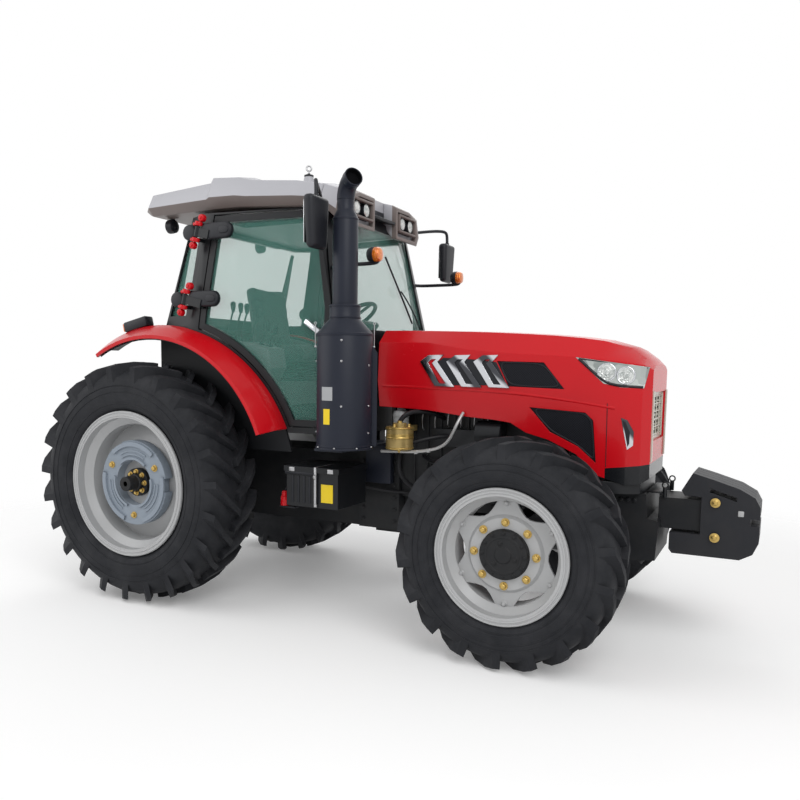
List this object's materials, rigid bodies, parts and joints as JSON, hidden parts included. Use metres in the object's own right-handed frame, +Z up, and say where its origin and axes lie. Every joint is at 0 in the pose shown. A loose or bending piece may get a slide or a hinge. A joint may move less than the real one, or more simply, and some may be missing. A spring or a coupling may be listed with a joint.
{
  "type": "farm tractor",
  "caption": "Four-wheel-drive farm tractor with a closed cab, tilting hood, side exhaust stack, front weights and a rear three-point linkage.",
  "frame": {"origin": "ground under the middle of the box around the tractor", "axes": "+X forward, +Y to the left, +Z up"},
  "size_m": [4.9464, 2.3134, 3.055],
  "materials": {
    "red_paint": "gloss",
    "black_paint": "satin",
    "cast_black": "satin",
    "stack_slate": "satin",
    "fittings_zinc": "satin",
    "black_plastic": "matte",
    "trim_grey": "matte",
    "roof_grey": "gloss",
    "glass": "clear",
    "lamp_lens": "gloss",
    "lamp_clear": "gloss",
    "chrome": "polished",
    "seat_cloth": "woven",
    "rim_silver": "satin",
    "weight_grey": "satin",
    "tyre": "matte",
    "link_steel": "satin"
  },
  "bodies": {
    "chassis": {"front_support": "cast_black", "front_weights": "cast_black", "front_axle": "cast_black", "engine": "cast_black", "engine_fittings": "fittings_zinc", "bulkhead": "black_paint", "radiator": "black_paint", "transmission": "cast_black", "hitch_frame": "black_paint", "exhaust": "stack_slate", "battery_box": "black_plastic", "fuel_tank": "black_plastic", "left_steps": "black_paint", "cab_tub": "trim_grey", "cab_frame": "black_paint", "cab_glass": "glass", "cab_roof": "roof_grey", "seat": "seat_cloth", "dashboard": "black_plastic", "mirrors": "black_plastic", "lamps": "lamp_lens", "fenders": "red_paint"},
    "hood_lid": {"hood": "red_paint", "hood_panels": "black_plastic", "hood_vents": "chrome", "grille": "chrome", "headlamps": "lamp_clear"},
    "right_door": {"door_right": "black_paint", "door_right_glass": "glass"},
    "left_door": {"door_left": "black_paint", "door_left_glass": "glass"},
    "right_knuckle": {"knuckle_right": "cast_black"},
    "left_knuckle": {"knuckle_left": "cast_black"},
    "track_rod": {"tie_rod": "link_steel"},
    "right_front_wheel": {"front_wheel_right": "rim_silver", "front_tyre_right": "tyre"},
    "left_front_wheel": {"front_wheel_left": "rim_silver", "front_tyre_left": "tyre"},
    "right_rear_wheel": {"rear_wheel_right": "rim_silver", "rear_weight_right": "weight_grey", "rear_tyre_right": "tyre"},
    "left_rear_wheel": {"rear_wheel_left": "rim_silver", "rear_weight_left": "weight_grey", "rear_tyre_left": "tyre"},
    "links": {"lower_links": "link_steel"},
    "arms": {"lift_arms": "link_steel"},
    "rods": {"lift_rods": "link_steel"}
  },
  "joints": [
    {"name": "hood_tilt", "type": "hinge", "parent": "chassis", "child": "hood_lid", "pos_m": [0.10723, 0, 1.904], "axis": [0, -1, 0], "range_deg": [0, 45]},
    {"name": "right_door_swing", "type": "hinge", "parent": "chassis", "child": "right_door", "pos_m": [-1.22978, -0.852, 2.17097], "axis": [-0.252, 0, -0.9677], "range_deg": [0, 65]},
    {"name": "left_door_swing", "type": "hinge", "parent": "chassis", "child": "left_door", "pos_m": [-1.22978, 0.852, 2.17097], "axis": [0.252, 0, 0.9677], "range_deg": [0, 65]},
    {"name": "steer_right", "type": "hinge", "parent": "chassis", "child": "right_knuckle", "pos_m": [1.20223, -0.69, 0.664], "axis": [0, 0, 1], "range_deg": [-35, 35]},
    {"name": "steer_left", "type": "hinge", "parent": "chassis", "child": "left_knuckle", "pos_m": [1.20223, 0.69, 0.664], "axis": [0, 0, 1], "range_deg": [-35, 35]},
    {"name": "track_rod_turn", "type": "hinge", "parent": "right_knuckle", "child": "track_rod", "pos_m": [0.98723, -0.69, 0.505], "axis": [0, 0, 1], "range_deg": [-35, 35]},
    {"name": "right_front_spin", "type": "hinge", "parent": "right_knuckle", "child": "right_front_wheel", "pos_m": [1.20223, -0.915, 0.664], "axis": [0, 1, 0], "continuous": true},
    {"name": "left_front_spin", "type": "hinge", "parent": "left_knuckle", "child": "left_front_wheel", "pos_m": [1.20223, 0.915, 0.664], "axis": [0, 1, 0], "continuous": true},
    {"name": "right_rear_spin", "type": "hinge", "parent": "chassis", "child": "right_rear_wheel", "pos_m": [-1.55777, -0.925, 0.865], "axis": [0, 1, 0], "continuous": true},
    {"name": "left_rear_spin", "type": "hinge", "parent": "chassis", "child": "left_rear_wheel", "pos_m": [-1.55777, 0.925, 0.865], "axis": [0, 1, 0], "continuous": true},
    {"name": "link_lift", "type": "hinge", "parent": "chassis", "child": "links", "pos_m": [-1.49777, 0, 0.575], "axis": [0, 1, 0], "range_deg": [-12, 25]},
    {"name": "arm_lift", "type": "hinge", "parent": "chassis", "child": "arms", "pos_m": [-1.75777, 0, 1.29], "axis": [0, 1, 0], "range_deg": [-12, 25]},
    {"name": "rod_turn", "type": "hinge", "parent": "arms", "child": "rods", "pos_m": [-2.14563, 0, 1.2438], "axis": [0, 1, 0], "range_deg": [-25, 12]}
  ],
  "couplings": [
    {"joint": "steer_left", "follows": "steer_right", "ratio": 1},
    {"joint": "track_rod_turn", "follows": "steer_right", "ratio": -1},
    {"joint": "arm_lift", "follows": "link_lift", "ratio": 1},
    {"joint": "rod_turn", "follows": "link_lift", "ratio": -1}
  ]
}
